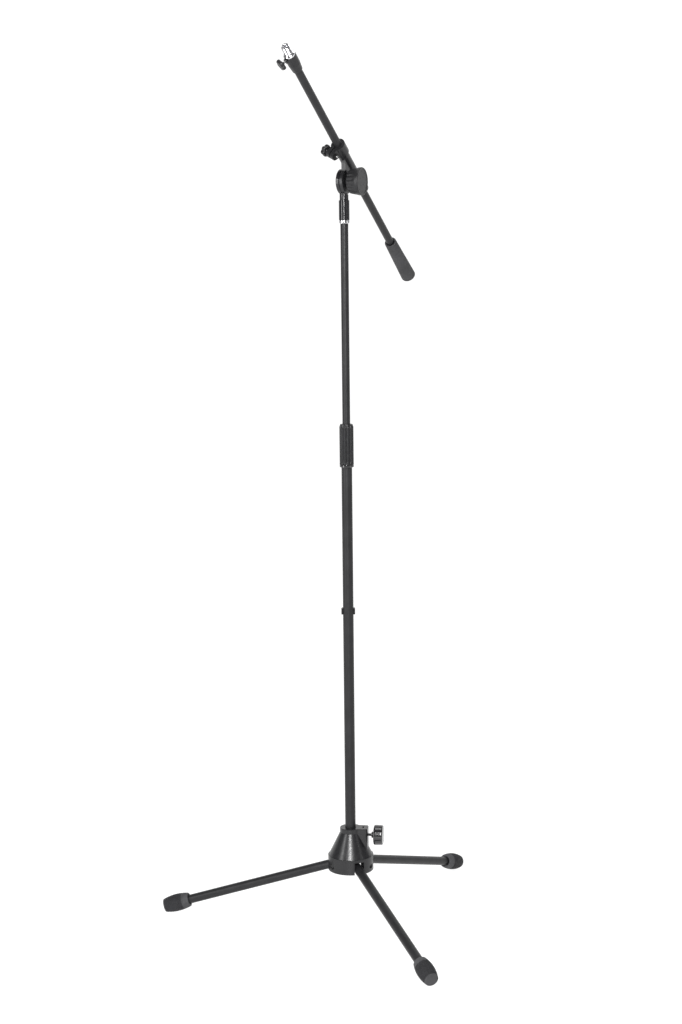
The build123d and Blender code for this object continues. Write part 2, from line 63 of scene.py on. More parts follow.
pivotWay = flat(head["turn"])
levelWay = flat(head["turn"] - 90.0)
lift = math.radians(head["rise"])
boomWay = levelWay * math.cos(lift) + upward * math.sin(lift)
riseWay = upward * math.cos(lift) - levelWay * math.sin(lift)
pivotAt = upward * head["pivot"]
boomAt = pivotAt + riseWay * head["boomUp"] + pivotWay * head["boomSide"]
drop = math.radians(legs["slope"])
hubHeight = ((legs["tip"] - legs["back"]) * math.sin(drop)
             + (legs["fat"] - legs["bulge"]) * math.cos(drop) + legs["bulge"])
hubAt = upward * hubHeight


# surfaces

def skin(name, grid, wrapRows=False, capped=True, crease=38.0):
    # quads between neighbouring rows and columns; columns wrap,
    # rows wrap too or end in a fan to their mean point
    rows, cols = grid.shape[:2]
    points = grid.reshape(-1, 3) * mm
    index = np.arange(rows * cols).reshape(rows, cols)
    nextCol = np.roll(index, -1, axis=1)
    if wrapRows:
        low, lowNext = index, nextCol
        high, highNext = np.roll(index, -1, axis=0), np.roll(nextCol, -1, axis=0)
    else:
        low, lowNext, high, highNext = index[:-1], nextCol[:-1], index[1:], nextCol[1:]
    quads = np.stack([low, lowNext, highNext, high], axis=-1).reshape(-1, 4)
    faces = quads.tolist()
    if capped and not wrapRows:
        ends = np.array([grid[0].mean(axis=0), grid[-1].mean(axis=0)]) * mm
        points = np.vstack([points, ends])
        first, last = rows * cols, rows * cols + 1
        near = np.stack([np.full(cols, first), nextCol[0], index[0]], axis=-1)
        far = np.stack([np.full(cols, last), index[-1], nextCol[-1]], axis=-1)
        faces += near.tolist() + far.tolist()
    mesh = bpy.data.meshes.new(name)
    mesh.from_pydata(points.tolist(), [], faces)
    mesh.update()
    mesh.shade_smooth()
    mesh.set_sharp_from_angle(angle=math.radians(crease))
    piece = bpy.data.objects.new(name, mesh)
    bpy.context.scene.collection.objects.link(piece)
    return piece


def soften(corners, radius, steps=5):
    # each inner corner becomes (1-t)^2 start + 2t(1-t) corner + t^2 end, which lie radius away from it
    corners = [np.array(c[:2], float) for c in corners]
    out = [corners[0]]
    t = np.linspace(0.0, 1.0, steps)[:, None]
    for before, corner, after in zip(corners[:-2], corners[1:-1], corners[2:]):
        back, ahead = before - corner, after - corner
        reach = min(radius, np.linalg.norm(back) * 0.49, np.linalg.norm(ahead) * 0.49)
        start, end = corner + unit(back) * reach, corner + unit(ahead) * reach
        out += list((1 - t) ** 2 * start + 2 * t * (1 - t) * corner + t ** 2 * end)
    out.append(corners[-1])
    return np.array(out)


def fill(profile, step):
    # points no further apart than step along the profile
    profile = np.asarray(profile, float)
    gaps = np.linalg.norm(np.diff(profile, axis=0), axis=1)
    counts = np.maximum(1, np.ceil(gaps / step).astype(int))
    parts = [np.linspace(a, b, n, endpoint=False) for a, b, n in zip(profile[:-1], profile[1:], counts)]
    return np.vstack(parts + [profile[-1:]])


def lathe(corners, radius, steps, step):
    # softened and filled profile, its radii held just off the axis so that the end fans stay open discs
    profile = fill(soften(corners, radius, steps), step)
    profile[:, 1] = np.maximum(profile[:, 1], axisGap)
    return profile


def turned(name, origin, along, profile, sides=72, shape=None, side=None, wrapRows=False, crease=38.0):
    # point = origin + along z + (across cos a + over sin a) r, with r = profile radius + shape(z, a, r)
    along = unit(along)
    if side is None:
        side = upward if abs(along[2]) < 0.9 else flat(0.0)
    across = unit(np.cross(np.cross(along, side), along))
    over = np.cross(along, across)
    profile = np.asarray(profile, float)
    if wrapRows:
        profile = profile[:-1]
    angle = np.arange(sides) * 2 * np.pi / sides
    z, r = profile[:, :1], profile[:, 1:2]
    dist = np.repeat(z, sides, axis=1)
    radius = np.repeat(r, sides, axis=1)
    turn = np.repeat(angle[None, :], len(profile), axis=0)
    if shape is not None:
        dist, radius = shape(dist, turn, radius)
    grid = (np.asarray(origin, float) + dist[..., None] * along
            + (radius * np.cos(turn))[..., None] * across + (radius * np.sin(turn))[..., None] * over)
    return skin(name, grid, wrapRows=wrapRows, crease=crease)


def threaded(pitch, depth, start, end):
    # r - depth (1 - wave^0.8), wave = a raised cosine of z / pitch - a / full turn, faded in at both ends
    def cut(z, a, r):
        phase = z / pitch - a / (2 * np.pi)
        wave = 0.5 + 0.5 * np.cos(2 * np.pi * phase)
        fade = np.clip((z - start) / pitch, 0, 1) * np.clip((end - z) / pitch, 0, 1)
        return z, r - depth * (1 - wave ** 0.8) * fade
    return cut


def wears(piece, body, node, material):
    # the piece takes the node's place, rides its body and wears the material, which names its slot
    piece.data.materials.append(material)
    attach(piece, body)
    if node:
        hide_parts(node)
    return piece


# materials

grit = {"broad": 38.0, "broadDetail": 5.0, "fineDetail": 3.0, "marks": 160.0, "marksDetail": 9.0,
        "marksRough": 0.72, "evenFrom": 0.3, "evenTo": 0.7, "scuffFrom": 0.62, "scuffTo": 0.78,
        "scuffGain": 2.2, "scuffLift": 0.05, "smoother": 0.82, "rougher": 1.2, "smoothest": 0.03,
        "depth": 0.0002, "coatRough": 0.12}


def noise(material, place, scale, detail, roughness=0.5):
    # a noise texture read at the piece's object coordinates
    texture = material.node_tree.nodes.new("ShaderNodeTexNoise")
    for socket, value in (("Scale", scale), ("Detail", detail), ("Roughness", roughness)):
        texture.inputs[socket].default_value = value
    material.node_tree.links.new(place.outputs["Object"], texture.inputs["Vector"])
    return texture.outputs["Fac"]


def spread(material, source, fromMin, fromMax, toMin, toMax):
    # the source's stretch fromMin..fromMax becomes toMin..toMax in a straight line
    stage = material.node_tree.nodes.new("ShaderNodeMapRange")
    for socket, value in (("From Min", fromMin), ("From Max", fromMax), ("To Min", toMin), ("To Max", toMax)):
        stage.inputs[socket].default_value = value
    material.node_tree.links.new(source, stage.inputs["Value"])
    return stage.outputs["Result"]


def finish(name, slot, colour, rough, metal=0.0, grain=900.0, bump=0.1, coat=0.0, blotch=0.25, scuff=0.0,
           sheen=0.0, shine=0.5):
    # colour times 1 - blotch to 1 + blotch by a broad noise, paler scuffs and roughness by a second,
    # bump by a fine one
    material = bpy.data.materials.new(name)
    material["slot"] = slot
    material.use_nodes = True
    nodes, links = material.node_tree.nodes, material.node_tree.links
    shader = nodes["Principled BSDF"]
    place = nodes.new("ShaderNodeTexCoord")
    broad = noise(material, place, grit["broad"], grit["broadDetail"])
    fine = noise(material, place, grain, grit["fineDetail"])
    marks = noise(material, place, grit["marks"], grit["marksDetail"], grit["marksRough"])
    tint = nodes.new("ShaderNodeValToRGB")
    dark, light = tint.color_ramp.elements
    dark.position, light.position = grit["evenFrom"], grit["evenTo"]
    dark.color = [c * (1 - blotch) for c in colour] + [1.0]
    light.color = [min(1.0, c * (1 + blotch)) for c in colour] + [1.0]
    links.new(broad, tint.inputs["Fac"])
    mix = nodes.new("ShaderNodeMix")
    mix.data_type = "RGBA"
    links.new(spread(material, marks, grit["scuffFrom"], grit["scuffTo"], 0.0, scuff), mix.inputs["Factor"])
    links.new(tint.outputs["Color"], mix.inputs["A"])
    pale = [min(1.0, c * grit["scuffGain"] + grit["scuffLift"]) for c in colour]
    mix.inputs["B"].default_value = pale + [1.0]
    links.new(mix.outputs["Result"], shader.inputs["Base Color"])
    dull = spread(material, marks, grit["evenFrom"], grit["evenTo"],
                  max(grit["smoothest"], rough * grit["smoother"]), min(1.0, rough * grit["rougher"]))
    links.new(dull, shader.inputs["Roughness"])
    relief = nodes.new("ShaderNodeBump")
    relief.inputs["Strength"].default_value = bump
    relief.inputs["Distance"].default_value = grit["depth"]
    links.new(fine, relief.inputs["Height"])
    links.new(relief.outputs["Normal"], shader.inputs["Normal"])
    shader.inputs["Metallic"].default_value = metal
    shader.inputs["Coat Weight"].default_value = coat
    shader.inputs["Coat Roughness"].default_value = grit["coatRough"]
    shader.inputs["Sheen Weight"].default_value = sheen
    shader.inputs["Specular IOR Level"].default_value = shine
    return material


powderBlack = finish("powder coated steel", "powder_black", (0.011, 0.011, 0.012), 0.4, grain=1500.0,
                     bump=0.16, scuff=0.04, shine=0.3)
castBlack = finish("black die casting", "cast_black", (0.009, 0.009, 0.01), 0.3, grain=1600.0, bump=0.02,
                   scuff=0.02, shine=0.45)
glossCast = finish("glossy black casting", "cast_black", (0.007, 0.007, 0.008), 0.18, grain=500.0,
                   bump=0.04, coat=0.2, shine=0.4)
sleevePlastic = finish("moulded black plastic", "dark_plastic", (0.009, 0.009, 0.01), 0.3, grain=2200.0,
                       bump=0.08, shine=0.35)
knobPlastic = finish("grained knob plastic", "dark_plastic", (0.011, 0.011, 0.012), 0.36, grain=2600.0,
                     bump=0.2, shine=0.35)
glossPlastic = finish("polished black plastic", "gloss_plastic", (0.006, 0.006, 0.007), 0.12, grain=300.0,
                      bump=0.02, coat=0.5)
footRubber = finish("foot rubber", "rubber", (0.045, 0.045, 0.048), 0.66, grain=1400.0, bump=0.35,
                    sheen=0.03, shine=0.3)
# a darker copy of the foot rubber for the ribbed band: painted shade standing in for the shadow in its
# grooves
shadedTreadRubber = finish("tread rubber with painted groove shade", "rubber", (0.014, 0.014, 0.016), 0.6, grain=1400.0, bump=0.35,
                     shine=0.3)
weightRubber = finish("soft weight coating", "coated_iron", (0.034, 0.034, 0.036), 0.62, grain=1700.0,
                      bump=0.25, shine=0.3)
brightChrome = finish("bright chrome", "chrome", (0.78, 0.78, 0.8), 0.1, metal=1.0, grain=700.0, bump=0.03,
                      blotch=0.03)
zincSteel = finish("zinc plated steel", "bright_steel", (0.4, 0.4, 0.4), 0.34, metal=1.0, grain=1200.0,
                   blotch=0.12)
blackSteel = finish("blackened steel", "black_steel", (0.03, 0.03, 0.031), 0.34, metal=0.6, grain=1200.0,
                    blotch=0.12)
turnedBrass = finish("turned brass", "brass", (0.62, 0.46, 0.2), 0.3, metal=1.0, grain=1200.0, blotch=0.12)
print("materials made")


# CAD pieces that keep their shape

def dress(node, material, edge=0.0):
    # the CAD node keeps its shape, wears the material, and its edges are rounded by edge millimetres
    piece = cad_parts[node]
    piece.data.materials.clear()
    piece.data.materials.append(material)
    if edge:
        bevel = piece.modifiers.new("rounded edges", "BEVEL")
        bevel.width = edge * mm
        bevel.segments = 3
        bevel.limit_method = "ANGLE"
        bevel.angle_limit = math.radians(35)
        bevel.harden_normals = True
    piece.data.polygons.foreach_set("use_smooth", np.ones(len(piece.data.polygons), bool))
    return piece


dress("base_casting", castBlack, 0.6)
dress("leg_pins", blackSteel)
dress("base_nut", blackSteel)
dress("column_plate", sleevePlastic)
dress("cable_clip", sleevePlastic, 0.5)
dress("clutch_body", glossPlastic)
dress("collet", sleevePlastic)
dress("guide_bush", sleevePlastic)
dress("swivel_head", glossCast, 0.4)
dress("pivot_bolt", blackSteel)
dress("boom_holder", castBlack, 0.5)
dress("clamp_nut", blackSteel, 0.2)
dress("tilt_insert", turnedBrass)
dress("boom_socket", sleevePlastic, 0.5)
for number in (1, 2, 3):
    dress(f"leg_plug_{number}", sleevePlastic)
print("CAD pieces dressed")

# tubes: ends along the axis, outer and inner radius

tubes = {"lowerEnds": (139.05, 1023.0), "upperEnds": (841.0, 1488.8), "boomEnds": (-376.0, 317.0),
         "lowerRadii": (11.0, 9.5), "upperRadii": (8.0, 6.7), "boomRadii": (8.0, 6.7),
         "seam": 1.0, "lip": 0.35, "step": 60.0, "sides": 96}


def pipe(name, origin, along, start, end, outer, inner, material, body, node):
    # a closed ring profile: out along the outer radius, back along the inner one, with softened lips
    seam = start + tubes["seam"]
    loop = soften([(seam, inner), (start, inner), (start, outer), (end, outer), (end, inner),
                   (end - tubes["seam"], inner), (seam, inner)], tubes["lip"])
    piece = turned(name, origin, along, fill(loop, tubes["step"]), sides=tubes["sides"], wrapRows=True)
    return wears(piece, body, node, material)


pipe("lowerColumnTube", (0, 0, 0), upward, *tubes["lowerEnds"], *tubes["lowerRadii"], powderBlack,
     "column", "lower_tube")
pipe("upperColumnTube", (0, 0, 0), upward, *tubes["upperEnds"], *tubes["upperRadii"], powderBlack,
     "head", "upper_tube")
pipe("boomTube", boomAt, boomWay, *tubes["boomEnds"], *tubes["boomRadii"], powderBlack, "boom", "boom_tube")

# legs and feet

legPipe = {"start": 26.03, "end": 408.0, "outer": 9.5, "inner": 8.0}
footShape = {"length": 56.0, "smoothBand": 14.0, "groove": 0.84, "ribStep": 3.6, "blocks": 28, "edge": 1.2,
             "mouth": 9.55, "mouthWide": 10.9, "recess": 3.0, "floor": 13.0, "plainTip": 2.0,
             "line": 0.5, "lineBack": 1.4, "lineWide": 0.7, "faceRing": 0.25, "faceStep": 2.4, "sides": 216}


def footRadius(along):
    # barrel arc: fat - bulge + sqrt(bulge^2 - (along - widest)^2)
    offset = along - (legs["tip"] - legs["back"])
    return legs["fat"] - legs["bulge"] + np.sqrt(legs["bulge"] ** 2 - offset ** 2)


def footTread(z, a, r):
    # r - groove (1 - soft squares of the rings and of the blocks round it), less a gaussian line where the
    # tread starts; the tip's face is lowered by a raised cosine of r
    start = legs["tip"] - footShape["length"] + footShape["smoothBand"]
    end = legs["tip"] - footShape["plainTip"]
    onSide = (r > footRadius(np.clip(z, start - 9, legs["tip"])) - 0.4) & (z < legs["tip"] - 0.2)
    fade = np.clip((z - start) / 1.2, 0, 1) * np.clip((end - z) / 1.2, 0, 1)
    row = np.floor((z - start) / footShape["ribStep"])
    ring = 0.5 - 0.5 * np.cos(2 * np.pi * (z - start) / footShape["ribStep"])
    block = 0.5 - 0.5 * np.cos(footShape["blocks"] * a + np.pi * (row % 2))
    groove = 1 - np.clip(ring * 2.6, 0, 1) * np.clip(block * 3.0, 0.25, 1)
    line = np.exp(-((z - start + footShape["lineBack"]) / footShape["lineWide"]) ** 2) * footShape["line"]
    face = (z >= legs["tip"] - 0.2) & (r > 2.0)
    rings = footShape["faceRing"] * (0.5 + 0.5 * np.cos(2 * np.pi * r / footShape["faceStep"]))
    return (z - np.where(face, rings, 0.0),
            np.where(onSide, r - footShape["groove"] * groove * fade - line, r))


for number, azimuth in enumerate(legs["azimuths"], 1):
    legWay = flat(azimuth) * math.cos(drop) - upward * math.sin(drop)
    pipe(f"legTube{number}", hubAt, legWay, legPipe["start"], legPipe["end"], legPipe["outer"],
         legPipe["inner"], powderBlack, f"leg_{number}", f"leg_tube_{number}")
    start, tip = legs["tip"] - footShape["length"], legs["tip"]
    barrel = np.linspace(start, tip, 40)
    floorAt, recessAt = tip - footShape["floor"], start + footShape["recess"]
    outline = [(floorAt, 0.0), (floorAt, footShape["mouth"]), (recessAt, footShape["mouth"]),
               (recessAt, footShape["mouthWide"]), (start, footShape["mouthWide"])]
    outline += list(zip(barrel, footRadius(barrel))) + [(tip, 0.0)]
    outline = lathe(outline, footShape["edge"], 6, 0.42)
    foot = turned(f"rubberFoot{number}", hubAt, legWay, outline, sides=footShape["sides"], shape=footTread)
    wears(foot, f"leg_{number}", f"rubber_foot_{number}", footRubber)
    # second slot: the darker rubber that paints the grooves' shade over the ribbed band
    foot.data.materials.append(shadedTreadRubber)
    # faces come row by row, so a face belongs to the tread if its row of the outline lies in the ribbed band;
    # tread faces take the darker rubber, which is painted shade for the grooves
    rowAt, rowRadius = outline[:-1, 0], outline[:-1, 1]
    inBand = (rowAt > start + footShape["smoothBand"]) & (rowAt < tip - footShape["plainTip"])
    inBand &= rowRadius > footShape["mouthWide"] + 0.5
    rowOf = np.arange(len(foot.data.polygons)) // footShape["sides"]
    banded = (rowOf < len(inBand)) & inBand[np.minimum(rowOf, len(inBand) - 1)]
    foot.data.polygons.foreach_set("material_index", banded.astype(np.int32))
print("tubes, legs and feet made")

# clutch sleeve

clutch = {"bottom": 973.9, "top": 1056.5, "radius": 14.8, "crown": 12.8, "taper": 6.0, "flutes": 12,
          "depth": 1.9, "core": 12.45, "cap": 5.0, "hole": 8.4, "skin": 0.3, "plainFoot": 1.2, "run": 2.0}


def clutchFlutes(z, a, r):
    # r - depth (raised cosine of the flutes)^2.2 on the outer wall, which keeps a skin over the core
    wave = (0.5 + 0.5 * np.cos(clutch["flutes"] * a)) ** 2.2
    least = clutch["core"] + clutch["skin"]
    fade = np.clip((z - clutch["bottom"] - clutch["plainFoot"]) / clutch["run"], 0, 1)
    return z, np.where(r > least, np.maximum(r - clutch["depth"] * wave * fade, least), r)


top, bottom, under = clutch["top"], clutch["bottom"], clutch["top"] - clutch["cap"]
outline = [(under, clutch["hole"]), (top, clutch["hole"]), (top, clutch["crown"]),
           (top - clutch["taper"], clutch["radius"]), (bottom, clutch["radius"]), (bottom, clutch["core"]),
           (under, clutch["core"]), (under, clutch["hole"])]
outline = fill(soften(outline[::-1], 0.7), 1.6)
sleeve = turned("clutchSleeve", (0, 0, 0), upward, outline, sides=288, shape=clutchFlutes, wrapRows=True)
wears(sleeve, "clutch", "clutch_sleeve", sleevePlastic)

# lock ring

lockRing = {"bottom": 1462.0, "height": 6.8, "radius": 11.0, "hole": 8.05, "seam": 3.0}
low = lockRing["bottom"]
high, seam = low + lockRing["height"], low + lockRing["seam"]
outline = [(seam, lockRing["hole"]), (low, lockRing["hole"]), (low, lockRing["radius"]),
           (high, lockRing["radius"]), (high, lockRing["hole"]), (seam, lockRing["hole"])]
outline = fill(soften(outline, 0.8), 1.0)
ring = turned("chromeLockRing", (0, 0, 0), upward, outline, sides=96, wrapRows=True)
wears(ring, "head", "lock_ring", brightChrome)
print("clutch and ring made")

# big tilt knob

tiltKnob = {"start": 14.0, "depth": 27.0, "inner": 23.5, "outer": 28.0, "flutes": 18, "cut": 1.3, "hub": 12.0,
            "hubStart": 8.0, "bore": 6.55, "boreEnd": 33.4, "rimDepth": 5.0, "dots": 8, "dotRing": 20.0,
            "innerDots": 4, "innerRing": 9.5, "dotHigh": 0.55, "dotWide": 1.1, "dish": 0.9, "rim": 2.6}


def dotField(a, r, count, ring):
    # exp(-distance^2 / dotWide) from the nearest of count points spread round a ring
    turn = np.abs(((a * count / (2 * np.pi) + 0.5) % 1.0) - 0.5) * 2 * np.pi / count
    return np.exp(-((turn * ring) ** 2 + (r - ring) ** 2) / tiltKnob["dotWide"])


def knobFlutes(z, a, r):
    # side: r - cut (raised cosine of the flutes)^1.6; face: a dish inside the rim and two rings of dots
    end = tiltKnob["start"] + tiltKnob["depth"]
    wave = (0.5 + 0.5 * np.cos(tiltKnob["flutes"] * a)) ** 1.6
    side = (r > tiltKnob["hub"] + 1.5) & (z > tiltKnob["start"] - 0.5)
    edge = np.clip((r - tiltKnob["inner"] + 5.0) / 4.0, 0, 1)
    fade = np.clip((end - 8.0 - z) / 6.0, 0, 1)
    cut = np.where(side, tiltKnob["cut"] * wave * edge * fade, 0.0)
    dots = dotField(a, r, tiltKnob["dots"], tiltKnob["dotRing"])
    dots += dotField(a, r, tiltKnob["innerDots"], tiltKnob["innerRing"])
    dish = tiltKnob["dish"] * np.clip((tiltKnob["outer"] - tiltKnob["rim"] - r) / 1.2, 0, 1)
    return np.where(z > end - 0.6, z - dish + tiltKnob["dotHigh"] * dots, z), r - cut


start, end, hub = tiltKnob["start"], tiltKnob["start"] + tiltKnob["depth"], tiltKnob["hub"]
outline = [(tiltKnob["boreEnd"], 0.0), (tiltKnob["boreEnd"], tiltKnob["bore"]),
           (tiltKnob["hubStart"], tiltKnob["bore"]), (tiltKnob["hubStart"], hub), (start, hub),
           (start, tiltKnob["inner"]), (end - tiltKnob["rimDepth"], tiltKnob["outer"]),
           (end, tiltKnob["outer"]), (end, 0.0)]
knob = turned("tiltKnob", pivotAt, pivotWay, lathe(outline, 1.8, 7, 0.55), sides=336, shape=knobFlutes,
              side=riseWay)
wears(knob, "tilt_clamp", "tilt_knob", knobPlastic)

# base clamp knob and screw

baseKnob = {"azimuth": -7.5, "height": 186.26, "start": 50.0, "thick": 19.5, "radius": 21.2, "hubStart": 45.0,
            "hub": 6.6, "screw": 3.0, "tip": 11.4, "bury": 12.0, "gap": 0.05, "dome": 0.9, "groove": 0.5,
            "grooveRing": 13.5, "grooveWide": 0.7, "neck": 4.6, "neckLong": 2.6, "pitch": 1.0, "cut": 0.5,
            "point": 2.4, "pointLong": 0.7, "short": 0.2}
screwWay = flat(baseKnob["azimuth"])
screwAt = upward * baseKnob["height"]
start, thick, radius, thin = baseKnob["start"], baseKnob["thick"], baseKnob["radius"], baseKnob["screw"]


def knobCrown(z, a, r):
    # outer face: z - dome (r / radius)^2, with one turned groove, a gaussian of r
    face = z > start + thick - 0.5
    groove = baseKnob["groove"] * np.exp(-((r - baseKnob["grooveRing"]) / baseKnob["grooveWide"]) ** 2)
    return np.where(face, z - baseKnob["dome"] * (r / radius) ** 2 - groove, z), r


buryAt, bore, back = start + baseKnob["bury"], thin + baseKnob["gap"], start + thick
outline = [(buryAt, 0.0), (buryAt, bore), (start, bore), (start, radius - 1.2), (start + 2.4, radius),
           (back - 2.0, radius - 0.4), (back, radius - 2.6), (back, 0.0)]
knob = turned("baseKnob", screwAt, screwWay, lathe(outline, 1.5, 8, 0.7), sides=128, shape=knobCrown)
wears(knob, "base_clamp", "base_knob", glossPlastic)

threadOf = threaded(baseKnob["pitch"], baseKnob["cut"], baseKnob["tip"] + 0.5, baseKnob["hubStart"] - 1.5)


def screwThread(z, a, r):
    # the thread cuts the screw's own wall and leaves its hub, neck and ends
    return z, np.where(np.abs(r - thin) < 0.1, threadOf(z, a, r)[1], r)


tip, hubStart, neckAt = baseKnob["tip"], baseKnob["hubStart"], start - baseKnob["neckLong"]
screwBack = buryAt - baseKnob["short"]
outline = [(tip, 0.0), (tip, baseKnob["point"]), (tip + baseKnob["pointLong"], thin), (hubStart, thin),
           (hubStart, baseKnob["hub"]), (neckAt, baseKnob["hub"]), (neckAt, baseKnob["neck"]),
           (start, baseKnob["neck"]), (start, thin), (screwBack, thin), (screwBack, 0.0)]
screw = turned("baseClampScrew", screwAt, screwWay, lathe(outline, 0.5, 4, 0.16), sides=40, shape=screwThread)
wears(screw, "base_clamp", "base_screw", blackSteel)
print("knobs made")

# small lobed knobs

boomClamp = {"along": 62.5, "turn": 30.0, "reach": 19.5, "start": 15.0, "thick": 10.0, "radius": 12.5,
             "lobes": 6, "dip": 2.6, "neck": 5.0, "neckStart": 9.4, "screwStart": -14.0, "screwEnd": 20.0,
             "screw": 2.5, "pitch": 0.8}
thumb = {"along": 334.5, "turn": 52.0, "start": 20.0, "thick": 7.5, "radius": 12.0, "lobes": 5, "dip": 2.4,
         "neck": 4.0, "neckStart": 18.0, "screwStart": 6.4, "screwEnd": 23.7, "screw": 2.0, "pitch": 0.7}
smallKnob = {"gap": 0.05, "cap": 3.6, "capDeep": 0.5, "capFloor": 3.0, "chamfer": 0.5, "cut": 0.35}


def lobedKnob(name, at, way, size, body, node):
    # side radius = r - dip (0.5 - 0.5 cos(lobes a))^1.5, fading in from the neck to the full radius
    def lobes(z, a, r):
        wave = (0.5 - 0.5 * np.cos(size["lobes"] * a)) ** 1.5
        share = np.clip((r - size["neck"] - 1.5) / (size["radius"] - size["neck"] - 1.5), 0, 1)
        return z, r - size["dip"] * wave * share
    begin, top, middle = size["start"], size["start"] + size["thick"], size["start"] + size["thick"] / 2
    bore, full, capFloor = size["screw"] + smallKnob["gap"], size["radius"], top - smallKnob["capDeep"]
    corners = [(middle, 0.0), (middle, bore), (size["neckStart"], bore), (size["neckStart"], size["neck"]),
               (begin, size["neck"]), (begin, full - 1.0), (begin + size["thick"] * 0.3, full),
               (top - size["thick"] * 0.25, full - 0.3), (top, full - 2.2), (top, smallKnob["cap"]),
               (capFloor, smallKnob["capFloor"]), (capFloor, 0.0)]
    piece = turned(name, at, way, lathe(corners, 1.3, 7, 0.5), sides=180, shape=lobes)
    return wears(piece, body, node, knobPlastic)


def plainScrew(name, at, way, size, body, node):
    # a threaded rod with chamfered ends between screwStart and screwEnd
    low, high, thick, chamfer = size["screwStart"], size["screwEnd"], size["screw"], smallKnob["chamfer"]
    points = fill([(low, 0.0), (low, thick - chamfer), (low + chamfer, thick), (high - chamfer, thick),
                   (high, thick - chamfer), (high, 0.0)], 0.12)
    points[:, 1] = np.maximum(points[:, 1], axisGap)
    cut = threaded(size["pitch"], smallKnob["cut"], low + 0.3, high - 0.3)
    piece = turned(name, at, way, points, sides=36,
                   shape=lambda z, a, r: (z, np.where(r > thick - 0.1, cut(z, a, r)[1], r)))
    return wears(piece, body, node, zincSteel)


earTurn = math.radians(boomClamp["turn"])
earWay = -riseWay * math.cos(earTurn) - pivotWay * math.sin(earTurn)
clampWay = -pivotWay * math.cos(earTurn) + riseWay * math.sin(earTurn)
clampAt = boomAt + boomWay * boomClamp["along"] + earWay * boomClamp["reach"]
lobedKnob("boomClampKnob", clampAt, clampWay, boomClamp, "boom_clamp", "clamp_knob")
plainScrew("boomClampScrew", clampAt, clampWay, boomClamp, "boom_clamp", "clamp_screw")

thumbTurn = math.radians(thumb["turn"])
thumbWay = -pivotWay * math.cos(thumbTurn) - riseWay * math.sin(thumbTurn)
thumbAt = boomAt + boomWay * thumb["along"]
lobedKnob("thumbKnob", thumbAt, thumbWay, thumb, "thumb", "thumb_knob")
plainScrew("thumbScrew", thumbAt, thumbWay, thumb, "thumb", "thumb_screw")
print("small knobs made")

# thread adapter

adapter = {"spigotStart": 323.0, "flangeStart": 341.4, "flange": 5.0, "flangeFlat": 2.6, "spigot": 6.0,
           "spigotEdge": 0.6, "flangeRadius": 11.6, "thread": 7.9, "collar": 0.8, "pitch": 0.94, "cut": 0.55,
           "length": 19.0, "slot": 3.2, "slotDeep": 6.0, "hole": 3.95, "overlap": 0.05, "chamfer": 1.0,
           "holeEdge": 0.3, "columns": 80}
threadStart = adapter["flangeStart"] + adapter["flange"]
threadEnd = threadStart + adapter["length"]
slotFloor = threadEnd - adapter["slotDeep"]
threadCut = threaded(adapter["pitch"], adapter["cut"], threadStart + 1.2, threadEnd + 2.0)


def adapterThread(z, a, r):
    # only the outer wall beyond the flange is cut by the screw thread
    wall = (np.abs(r - adapter["thread"]) < 0.05) & (z > threadStart)
    return z, np.where(wall, threadCut(z, a, r)[1], r)


low, flangeAt, full = adapter["spigotStart"], adapter["flangeStart"], adapter["thread"]
outline = [(low, 0.0), (low, adapter["spigot"] - adapter["spigotEdge"]),
           (low + adapter["spigotEdge"], adapter["spigot"]), (flangeAt, adapter["spigot"]),
           (flangeAt, adapter["flangeRadius"]), (flangeAt + adapter["flangeFlat"], adapter["flangeRadius"]),
           (threadStart, full + adapter["collar"]), (threadStart, full), (slotFloor, full), (slotFloor, 0.0)]
stud = turned("threadAdapter", boomAt, boomWay, lathe(outline, 0.3, 4, 0.16), sides=144, shape=adapterThread,
              side=pivotWay)
wears(stud, "adapter", "thread_adapter", brightChrome)


def prong(name, facing):
    # half a thick-walled tube: a runs from facing + asin(half slot / r) to facing + pi - asin(half slot / r)
    root, hole, edge = slotFloor - adapter["overlap"], adapter["hole"], adapter["chamfer"]
    corners = [(root, hole), (root, full), (threadEnd - edge, full), (threadEnd, full - edge),
               (threadEnd, hole + adapter["holeEdge"]), (threadEnd - adapter["holeEdge"], hole), (root, hole)]
    loop = fill(corners, 0.16)[:-1]
    share = np.linspace(0.0, 1.0, adapter["columns"])[:, None]
    z = np.repeat(loop[None, :, 0], adapter["columns"], axis=0)
    r = np.repeat(loop[None, :, 1], adapter["columns"], axis=0)
    wall = np.arcsin(adapter["slot"] / 2 / r)
    a = facing + wall + share * (np.pi - 2 * wall)
    r = np.where(r > full - 0.05, threadCut(z, a, r)[1], r)
    over = np.cross(boomWay, pivotWay)
    grid = (boomAt + z[..., None] * boomWay + (r * np.cos(a))[..., None] * pivotWay
            + (r * np.sin(a))[..., None] * over)
    return wears(skin(name, grid[:, ::-1]), "adapter", None, brightChrome)


prong("adapterProngOne", 0.0)
prong("adapterProngTwo", np.pi)

# counterweight

weight = {"front": -260.0, "back": -385.0, "frontRadius": 12.6, "backRadius": 15.6, "floor": 9.0,
          "mouth": 3.0, "mouthRadius": 9.4, "hole": 8.05, "ring": 0.04, "ringTurn": 2.1}


def weightGrain(z, a, r):
    # faint moulded rings: r + ring cos(ringTurn z) on the outer wall
    outerWall = r > weight["frontRadius"] - 1.0
    return z, np.where(outerWall, r + weight["ring"] * np.cos(z * weight["ringTurn"]), r)


back, front, mouthAt, floorAt = (weight["back"], weight["front"], weight["front"] - weight["mouth"],
                                 weight["back"] + weight["floor"])
outline = [(back, 0.0), (back, weight["backRadius"]), (front, weight["frontRadius"]),
           (front, weight["mouthRadius"]), (mouthAt, weight["mouthRadius"]), (mouthAt, weight["hole"]),
           (floorAt, weight["hole"]), (floorAt, 0.0)]
load = turned("counterweight", boomAt, boomWay, lathe(outline, 1.4, 9, 0.8), sides=120, shape=weightGrain)
wears(load, "boom", "counterweight", weightRubber)
print("boom ends made")

# floor, light and camera

